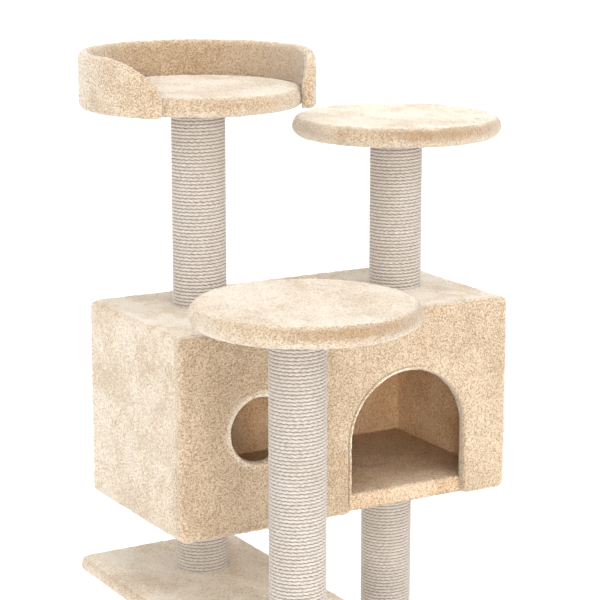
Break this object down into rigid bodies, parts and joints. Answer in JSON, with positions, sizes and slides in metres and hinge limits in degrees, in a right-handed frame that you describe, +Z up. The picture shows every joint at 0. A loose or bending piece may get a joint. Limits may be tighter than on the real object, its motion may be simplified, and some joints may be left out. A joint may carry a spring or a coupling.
{
  "type": "cat tree",
  "caption": "Plush-covered cat tree: sisal posts carry a low platform, a house with arched door and round window, round perches and a rimmed top bed.",
  "frame": {"origin": "middle of the base board's underside", "axes": "+Z up, -Y towards the front (the house's door), +X to the right seen from the front"},
  "size_m": [0.6322, 0.6422, 1.1092],
  "materials": {
    "plush": "short cream pile, soft nap",
    "lining": "short pile, seen in shade",
    "sisal": "twisted off-white sisal rope, wound close",
    "board": "raw particle board",
    "cardboard_tube": "wound kraft board",
    "plug_wood": "raw softwood",
    "steel": "zinc-plated"
  },
  "bodies": {
    "root": {"base_board": "board", "base_bolt_front_left": "steel", "base_bolt_rear_left": "steel", "base_bolt_right": "steel", "base_cover": "plush", "bed_board": "board", "bed_cover": "plush", "bed_rim_cover": "plush", "bed_rim_strip": "board", "bed_stud": "steel", "floor_bolt_left": "steel", "floor_bolt_right": "steel", "front_disc_board": "board", "front_disc_cover": "plush", "front_disc_stud": "steel", "front_lower_post_bottom_plug": "plug_wood", "front_lower_post_sisal": "sisal", "front_lower_post_top_plug": "plug_wood", "front_lower_post_tube": "cardboard_tube", "front_upper_post_bottom_plug": "plug_wood", "front_upper_post_sisal": "sisal", "front_upper_post_top_plug": "plug_wood", "front_upper_post_tube": "cardboard_tube", "house_back_board": "board", "house_floor_board": "board", "house_front_board": "board", "house_front_cover": "plush", "house_left_board": "board", "house_lining": "lining", "house_outer_cover": "plush", "house_right_board": "board", "house_roof_board": "board", "rear_lower_post_bottom_plug": "plug_wood", "rear_lower_post_sisal": "sisal", "rear_lower_post_top_plug": "plug_wood", "rear_lower_post_tube": "cardboard_tube", "rear_upper_post_bottom_plug": "plug_wood", "rear_upper_post_sisal": "sisal", "rear_upper_post_top_plug": "plug_wood", "rear_upper_post_tube": "cardboard_tube", "right_disc_board": "board", "right_disc_cover": "plush", "right_disc_stud": "steel", "right_lower_post_bottom_plug": "plug_wood", "right_lower_post_sisal": "sisal", "right_lower_post_top_plug": "plug_wood", "right_lower_post_tube": "cardboard_tube", "right_upper_post_bottom_plug": "plug_wood", "right_upper_post_sisal": "sisal", "right_upper_post_top_plug": "plug_wood", "right_upper_post_tube": "cardboard_tube", "roof_bolt_left": "steel", "roof_bolt_right": "steel", "shelf_board": "board", "shelf_cover": "plush", "shelf_stud_front": "steel", "shelf_stud_rear": "steel", "short_post_plug": "plug_wood", "short_post_sisal": "sisal", "short_post_tube": "cardboard_tube"}
  },
  "joints": []
}
